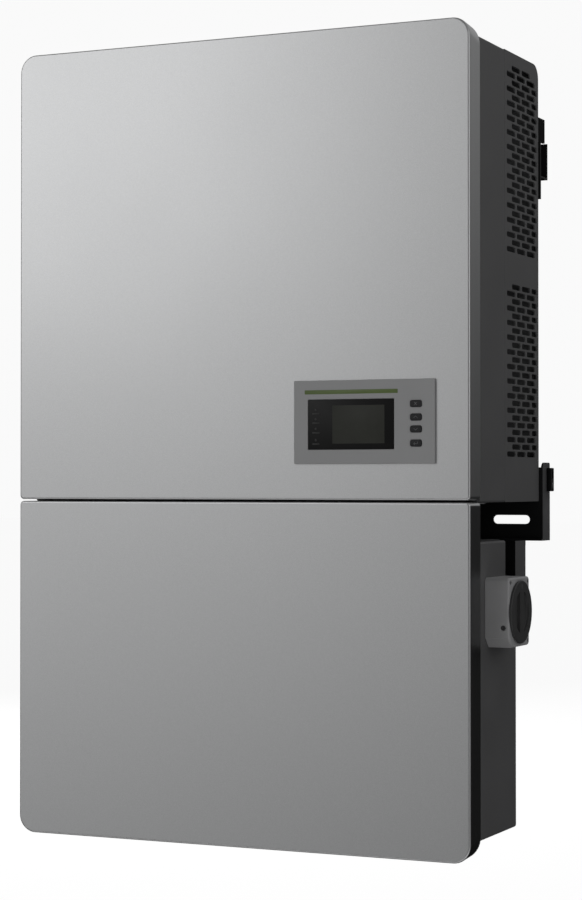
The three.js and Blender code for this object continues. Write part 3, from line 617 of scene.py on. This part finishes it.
def rotor(name, rh, rt, z0, z1, blades, frame_of):
    """Hub with curved blades about the local Z axis; frame_of turns local mm into world points."""
    objs = []
    n = 40
    prof = [(rh - 3, z0), (rh, z0 + 1.2), (rh, z1 - 2), (rh - 0.8, z1 - 0.6), (rh - 2, z1), (6, z1), (5.5, z1 - 0.5), (0.05, z1 - 0.5)]
    objs.append(loft("h", [[frame_of(a, b, t) for a, b in circle(r, n)] for r, t in prof]))
    zm, H = (z0 + z1) / 2, (z1 - z0) * 0.42
    for k in range(blades):
        a0 = 2 * math.pi * k / blades
        nr, nc = 7, 9
        top, bot = [], []
        for i in range(nr):
            u = i / (nr - 1)
            r = (rh - 1) + (rt - rh + 1) * u
            span = math.radians(44 - 6 * u)
            sweep = math.radians(16) * u * u
            for j in range(nc):
                v = j / (nc - 1)
                a = a0 + sweep + span * (v - 0.5)
                z = zm + H * (1 - 0.25 * u) * math.sin((0.5 - v) * math.pi * 0.86)
                top.append(frame_of(r * math.cos(a), r * math.sin(a), z + 0.65))
                bot.append(frame_of(r * math.cos(a), r * math.sin(a), z - 0.65))
        verts = top + bot
        off = nr * nc
        faces = []
        for i in range(nr - 1):
            for j in range(nc - 1):
                q = i * nc + j
                faces.append((q, q + 1, q + nc + 1, q + nc))
                faces.append((off + q, off + q + nc, off + q + nc + 1, off + q + 1))
        edge = [j for j in range(nc)] + [i * nc + nc - 1 for i in range(1, nr)] + [(nr - 1) * nc + j for j in range(nc - 2, -1, -1)] + [i * nc for i in range(nr - 2, 0, -1)]
        for a, b in zip(edge, edge[1:] + edge[:1]):
            faces.append((a, b, off + b, off + a))
        objs.append(make("b", verts, faces))
    return join(name, objs)


for i, x in enumerate(FX):
    put(copy_cad(f"fan_frame_{i+1}", 0.6, 2), "fan", "chassis", f"fan_frame_{i+1}")
    put(rotor(f"fan_wheel_{i+1}", 21, 53.5, -66.2, -34.7, 7, lambda a, b, c, x=x: V(x + a, FY + b, c)), "fan", f"fan_{i+1}", f"fan_rotor_{i+1}")
    parts = []
    for r in (14, 24, 34, 44, 54):
        parts.append(tube("g", [(x + a, FY + b, -75.2) for a, b in circle(r, 48)], 0.85, 8, closed=True))
    for q in (45, 135):
        dx, dy = math.cos(math.radians(q)), math.sin(math.radians(q))
        parts.append(tube("g", [(x - 74 * dx, FY - 74 * dy, -75.0), (x - 70 * dx, FY - 70 * dy, -76.6), (x + 70 * dx, FY + 70 * dy, -76.6), (x + 74 * dx, FY + 74 * dy, -75.0)], 0.95, 8))
    put(join(f"fan_guard_{i+1}", parts), "wire_steel", "chassis", None)
put(copy_cad("internal_fan_frame", 0.5), "fan", "chassis", "internal_fan_frame")
put(rotor("internal_fan_wheel", 15.5, 34.5, 0, 19.8, 7, lambda a, b, c: V(-225 + a, 78 + 4.2 + c, b)), "fan", "internal_fan", "internal_fan_rotor")

# ------------------------------------------------------------------ inside
put(copy_cad("heat_sink", 0.25, 1), "alu", "chassis", "heat_sink")
for n, m, sl in (("control_board", "pcb", "circuit_board"), ("power_board", "pcb", "circuit_board"), ("capacitor_bank", "can", "capacitor_sleeve"), ("power_modules", "module", "module_black"),
                 ("boost_inductors", "cast", "inductor_housing"), ("ac_inductors", "cast", "inductor_housing"), ("ribbon_cable", "ribbon", "ribbon_plastic"),
                 ("dc_fuse_block", "fuse", "fuse_body_plastic"), ("surge_base", "fuse", "fuse_body_plastic"), ("ac_terminal_block", "term", "terminal_plastic"), ("ground_bar", "copper", "ground_copper")):
    put(copy_cad(n, 0.5, 2), m, "chassis", n)
for i in range(4):
    put(copy_cad(f"fuse_lever_{i+1}", 1.0, 3), "lever", f"lever_{i+1}", f"fuse_lever_{i+1}")
put(copy_cad("surge_cartridge", 1.0, 3), "red", "cartridge", "surge_cartridge")

# wiring compartment fittings
rail = [box("r", a, b, 157.5, 158.7, -317.5, -282.5) for a, b in ((-232, -205.6), (-132.4, -70.4), (-33.6, -12))]
rail += [box("r", a, b, 158.4, 163.3, z0, z0 + 1.2) for a, b in ((-232, -205.6), (-132.4, -70.4), (-33.6, -12)) for z0 in (-310.0, -291.2)]
put(join("mounting_rail", rail), "seal", "chassis", None)
sc = []
for i in range(5):
    x = 77 + i * 32
    sc.append(screw("Y", x, -314, 126, -1, 5.6, 3.0))
for x in (-58, -41, -24, -7, 10, 27, 44):
    sc.append(hexhead("Y", x - 0.0, -428, 136, -1, 7, 3.2, 4.6, 0.8) if x in (-58, -24, 10, 44) else screw("Y", x, -428, 136, -1, 4.0, 2.4))
put(join("terminal_screws", sc), "steel", "chassis", None)


def wire(pts, r):
    return tube("w", smooth_path(pts, 8), r, 10)


def ferrule(axis, c, t0, t1, r):
    return turned("f", axis, c[0], c[1], [(r * 0.8, t0), (r, t0 + 0.3 * (1 if t1 > t0 else -1)), (r, t1)], 16)


# conductors between the AC switch body and the terminal block, and the DC side's
ac, dcp, dcn = [], [], []
for k, z in enumerate((-22, 0, 22)):
    zz = -204 + z
    x = 205 - 32 * k
    ac.append(wire([(243, 78 + 0 * k, zz), (232, 78, zz), (222 - 8 * k, 84, zz - 4), (x + 4, 104, -240 - 4 * k), (x, 128, -268), (x, 146, -282), (x, 148, -291)], 3.1))
    ac.append(wire([(243, 105, zz), (234, 105, zz), (226 - 10 * k, 103, zz + 10), (214 - 14 * k, 96, -150), (206 - 14 * k, 88, -112), (205 - 14 * k, 86, -74)], 3.1))
put(join("ac_conductors", ac), "black_wire", "chassis", None)
for k, z in enumerate((-22, 22)):
    zz = -204 + z
    dst = dcp if k == 0 else dcn
    for j, y in enumerate((76, 100)):
        x = -196 + 36 * k + 18 * j
        dst.append(wire([(-243, y, zz), (-231, y, zz), (-220 + 8 * j, y + 6, zz - 6), (x - 4, 116, -236), (x, 136, -246), (x, 142, -257)], 2.8))
    dst.append(wire([(-243, 88, zz + 6), (-233, 88, zz + 8), (-222 + 12 * k, 90, zz + 22), (-208 + 12 * k, 88, -140), (-204 + 12 * k, 86, -108), (-204 + 12 * k, 86, -74)], 2.8))
for i in range(4):
    x = -196 + 18 * i
    (dcp if i < 2 else dcn).append(wire([(x, 142, -343), (x, 140, -356), (x + 2, 128, -384), (x + 6 * (i - 1.5), 112, -414), (x + 7 * (i - 1.5), 106, -440), (x + 7 * (i - 1.5), 105, -468.6)], 2.8))
put(join("dc_positive_conductors", dcp), "red_wire", "chassis", None)
put(join("dc_negative_conductors", dcn), "black_wire", "chassis", None)
gw = [wire([(44, 132, -428), (60, 120, -420), (120, 112, -392), (178, 118, -362), (205, 138, -348), (205, 146, -338)], 2.9),
      wire([(-58, 132, -428), (-60, 122, -415), (-56, 122, -380), (-52, 136, -356), (-52, 142, -343)], 2.3),
      wire([(-24, 132, -428), (-20, 118, -436), (-10, 108, -452), (-8, 106, -468.6)], 2.9)]
put(join("earth_conductors", gw), "green_wire", "chassis", None)
outs = [wire([(77 + i * 32, 146, -338), (77 + i * 32, 144, -350), (80 + i * 26, 128, -384), (96 + i * 17, 112, -424), (104 + i * 13, 106, -446), (106 + i * 13, 105, -468.6)], 3.1) for i in range(4)]
put(join("output_conductors", outs), "black_wire", "chassis", None)
# a small terminal board for signal wires, right of the middle
cb = [box("b", 92, 214, 150, 151.6, -262, -204)]
put(soften(join("signal_board", cb), 0.3, 1), "pcb", "chassis", None)
tb = []
for i in range(9):
    tb.append(slab("t", "Y", 98 + i * 12, 108.6 + i * 12, -260.5, -248, 0.8, 139, 150, 0.6, n=3, k=2))
for z in (-214, -228):
    tb.append(slab("t", "Y", 100, 128, z - 5, z + 5, 0.8, 141, 150, 0.6, n=3, k=2))
tb.append(slab("t", "Y", 150, 168, -236, -218, 0.8, 147.4, 150, 0.4, n=3, k=2))
put(join("signal_terminals", tb), "lever", "chassis", None)
tsc = [screw("Y", 103.3 + i * 12, -254, 139, -1, 2.3, 0.9) for i in range(9)]
tsc += [turned("p", "Y", a, b, [(2.6, 151.4), (2.6, 163.4)], 12) for a, b in ((97, -209), (209, -209), (97, -242), (209, -257))]
put(join("signal_hardware", tsc), "steel", "chassis", None)

# fixings: covers' top and bottom screws, duct sheets, rear cover, hook plates, fan tray
fx = []
for x in (-250, 0, 250):
    fx.append(screw("Z", x, 20, 492.2, 1, 4.2, 2.4))
put(join("upper_cover_screws", fx), "steel", "chassis", None)
fx = [screw("Z", x, 20, -492.2, -1, 4.2, 2.4) for x in (-250, 0, 250)]
put(join("lower_cover_screws", fx), "steel", "wiring_cover", None)
fx = []
for x in (-285, -95, 95, 285):
    for z in (-58, 200, 330):
        fx.append(screw("Y", x, z, 254.8, 1, 3.4, 1.6))
for x in (-270, -90, 90, 270):
    fx.append(screw("Z", x, 200, 475.8, 1, 3.4, 1.6))
for x in FX:
    for a in (-1, 1):
        for b in (-1, 1):
            fx.append(screw("Z", x + a * 52.4, FY + b * 52.4, -74.1, -1, 2.6, 1.8))
for s in (-1, 1):
    for z in (-178, -132):
        fx.append(screw("Y", s * 275, z, 168.8, 1, 3.0, 1.8))
put(join("case_screws", fx), "black_steel", "chassis", None)

# pressed knockouts in the wiring box floor
ko = []
for x, r in ((-235, 17), (-175, 17), (-115, 12), (-60, 9), (-15, 9), (30, 9), (90, 12), (160, 24), (240, 24)):
    ko.append(turned("k", "Z", x, 102, [(r, -471.2), (r, -471.7), (r - 0.5, -472.0), (r - 1.6, -472.0), (r - 2.0, -471.6), (0.05, -471.6)], 44))
put(join("conduit_knockouts", ko), "box", "chassis", None)

# ------------------------------------------------------------------ floor, light, camera
def stage_floor():
    me = bpy.data.meshes.new("floor")
    s = 30.0
    z = V(0, 0, -650).z
    me.from_pydata([(-s, -s, z), (s, -s, z), (s, s, z), (-s, s, z)], [], [(0, 1, 2, 3)])
    o = bpy.data.objects.new("floor", me)
    col.objects.link(o)
    m = bpy.data.materials.new("floor_white")
    m.use_nodes = True
    b = m.node_tree.nodes["Principled BSDF"]
    b.inputs["Base Color"].default_value = (0.10, 0.10, 0.10, 1)
    b.inputs["Roughness"].default_value = 0.9
    b.inputs["Specular IOR Level"].default_value = 0.0
    b.inputs["Emission Color"].default_value = (1, 1, 1, 1)
    b.inputs["Emission Strength"].default_value = 0.92
    me.materials.append(m)
    o.visible_diffuse = o.visible_glossy = o.visible_shadow = False


stage_floor()


def area(name, loc, target, size, power, color=(1, 1, 1), size_y=None):
    d = bpy.data.lights.new(name, "AREA")
    d.energy, d.color, d.size = power, color, size
    if size_y:
        d.shape, d.size_y = "RECTANGLE", size_y
    o = bpy.data.objects.new(name, d)
    o.location = V(*loc)
    o.rotation_mode = "QUATERNION"
    o.rotation_quaternion = (V(*target) - V(*loc)).to_track_quat("-Z", "Y")
    col.objects.link(o)
    return o


area("key", (-900, -1000, 800), (0, 0, 200), 1.2, 2.07)
area("fill", (1600, -600, 500), (302, 120, 0), 1.2, 2.4)
area("rear", (-1700, 2300, 1300), (-100, 250, 0), 1.6, 70).visible_glossy = False

# a studio dome: a large soft light in front on the left, weak ones on the right, above and behind
w = bpy.data.worlds.new("world")
bpy.context.scene.world = w
w.use_nodes = True
nt = w.node_tree
bg = nt.nodes["Background"]
bg.inputs["Color"].default_value = (1, 1, 1, 1)
tc = nt.nodes.new("ShaderNodeTexCoord")
sep = nt.nodes.new("ShaderNodeSeparateXYZ")
nt.links.new(tc.outputs["Generated"], sep.inputs["Vector"])


def ramp(c, lo, hi):
    """A smooth step from 0 at lo to 1 at hi of one component of the direction."""
    n = nt.nodes.new("ShaderNodeMapRange")
    n.interpolation_type = "SMOOTHSTEP"
    n.inputs["From Min"].default_value, n.inputs["From Max"].default_value = min(lo, hi), max(lo, hi)
    n.inputs["To Min"].default_value, n.inputs["To Max"].default_value = (0, 1) if hi > lo else (1, 0)
    nt.links.new(sep.outputs[c], n.inputs["Value"])
    return n.outputs["Result"]


def calc(op, a, b):
    n = nt.nodes.new("ShaderNodeMath")
    n.operation = op
    for i, v in enumerate((a, b)):
        if isinstance(v, (int, float)):
            n.inputs[i].default_value = v
        else:
            nt.links.new(v, n.inputs[i])
    return n.outputs["Value"]


total = 0.004
for strength, steps in ((1.05, (("Z", -0.30, 0.05), ("Y", -0.2, -0.8), ("X", -0.04, -0.54))),
                        (0.30, (("X", 0.2, 0.8), ("Y", 0.3, -0.3))),
                        (0.15, (("Z", 0.3, 0.8),)),
                        (0.62, (("Z", -0.31, -0.66), ("Y", 0.1, -0.4))),
                        (0.36, (("Z", -0.02, 0.30), ("Y", 0.1, 0.6)))):
    v = strength
    for st in steps:
        v = calc("MULTIPLY", v, ramp(*st))
    total = calc("ADD", total, v)
lp = nt.nodes.new("ShaderNodeLightPath")
mx = nt.nodes.new("ShaderNodeMix")
mx.inputs["B"].default_value = 0.955
nt.links.new(lp.outputs["Is Camera Ray"], mx.inputs["Factor"])
nt.links.new(total, mx.inputs["A"])
nt.links.new(mx.outputs["Result"], bg.inputs["Strength"])

cam_d = bpy.data.cameras.new("camera")
cam_d.lens, cam_d.sensor_width, cam_d.sensor_fit = 2270.5 / 900 * 36, 36, "AUTO"
cam_d.clip_start, cam_d.clip_end = 0.05, 100
cam = bpy.data.objects.new("camera", cam_d)
cam.location = V(1217.4, -2475.9, -50.2)
az, el = math.radians(24.76), math.radians(0.82)
fwd = Vector((-math.sin(az) * math.cos(el), math.cos(az) * math.cos(el), math.sin(el)))
cam.rotation_mode = "QUATERNION"
cam.rotation_quaternion = fwd.to_track_quat("-Z", "Y")
col.objects.link(cam)
bpy.context.scene.camera = cam
bpy.context.scene.view_settings.view_transform = "Standard"
